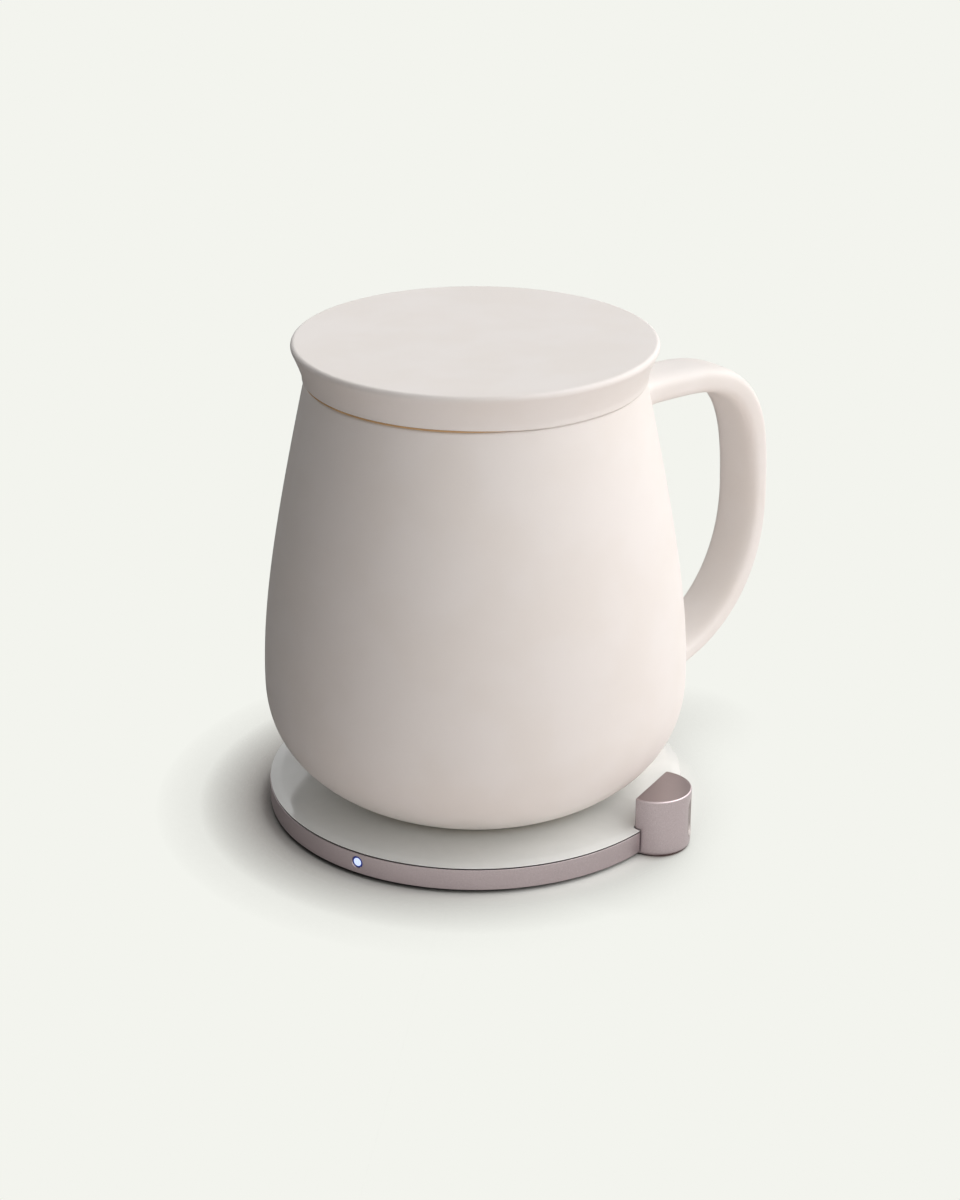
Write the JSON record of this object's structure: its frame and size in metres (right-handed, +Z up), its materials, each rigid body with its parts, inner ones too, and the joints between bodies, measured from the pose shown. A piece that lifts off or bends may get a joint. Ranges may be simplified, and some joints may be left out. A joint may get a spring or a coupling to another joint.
{
  "type": "self heating mug",
  "caption": "Rounded ceramic mug with a strap handle and a flared ceramic lid, standing on a thin round charging coaster with a metal rim and a corner pod for its power inlet.",
  "frame": {"origin": "centre of the foot pad's underside, where the coaster stands on the table", "axes": "+Z up along the axis of the mug and the coaster, +X along the mug's handle"},
  "size_m": [0.133, 0.0997, 0.1116],
  "materials": {
    "glazed_ceramic": "warm white satin glaze",
    "tan_silicone": "moulded tan silicone",
    "satin_metal": "bead-blasted, anodised mauve grey",
    "white_plastic": "smooth white, rounded polished edge",
    "dark_plastic": "moulded, fine texture",
    "black_silicone": "matte silicone",
    "dark_foam": "closed cell foam tape",
    "copper": "enamelled copper winding",
    "ferrite": "sintered ferrite",
    "green_board": "solder mask on glass fibre laminate",
    "chip_plastic": "black moulding compound",
    "capacitor_ceramic": "unglazed brown ceramic",
    "led_plastic": "white diffusing package",
    "clear_lens": "polished light guide, lit pale blue",
    "bright_steel": "bright nickel plated",
    "flex_film": "amber polyimide film",
    "alumina": "sintered alumina",
    "silica_felt": "needled silica felt"
  },
  "bodies": {
    "coaster": {"coaster_ring": "satin_metal", "charging_plate": "white_plastic", "plate_adhesive": "dark_foam", "foot_pad": "black_silicone", "base_plate": "dark_plastic", "base_screw_1": "bright_steel", "base_screw_2": "bright_steel", "base_screw_3": "bright_steel", "base_screw_4": "bright_steel", "coil_tray": "dark_plastic", "coil_ferrite": "ferrite", "charging_coil": "copper", "coil_sensor": "chip_plastic", "charger_board": "green_board", "controller_chip": "chip_plastic", "driver_chip": "chip_plastic", "power_inductor": "ferrite", "tuning_capacitor_1": "capacitor_ceramic", "tuning_capacitor_2": "capacitor_ceramic", "tuning_capacitor_3": "capacitor_ceramic", "indicator_led": "led_plastic", "indicator_lens": "clear_lens", "pod_shell": "satin_metal", "pod_hatch": "dark_plastic", "pod_screw_1": "bright_steel", "pod_screw_2": "bright_steel", "socket_shell": "bright_steel", "socket_tongue": "chip_plastic", "socket_board": "green_board", "socket_flex": "flex_film", "flex_connector": "chip_plastic"},
    "mug": {"mug_body": "glazed_ceramic", "handle": "glazed_ceramic", "mug_base_cover": "dark_plastic", "base_cover_seal": "black_silicone", "receiver_coil": "copper", "receiver_ferrite": "ferrite", "receiver_board": "green_board", "felt_ring": "silica_felt", "rectifier_chip": "chip_plastic", "temperature_sensor": "chip_plastic", "heating_disc": "alumina"},
    "lid": {"lid": "glazed_ceramic", "lid_seal": "tan_silicone"}
  },
  "joints": [
    {"name": "mug_lift", "type": "slide", "parent": "coaster", "child": "mug", "axis": [0, 0, 1], "range_m": [0, 0.06]},
    {"name": "lid_lift", "type": "slide", "parent": "mug", "child": "lid", "axis": [0, 0, 1], "range_m": [0, 0.05]}
  ]
}
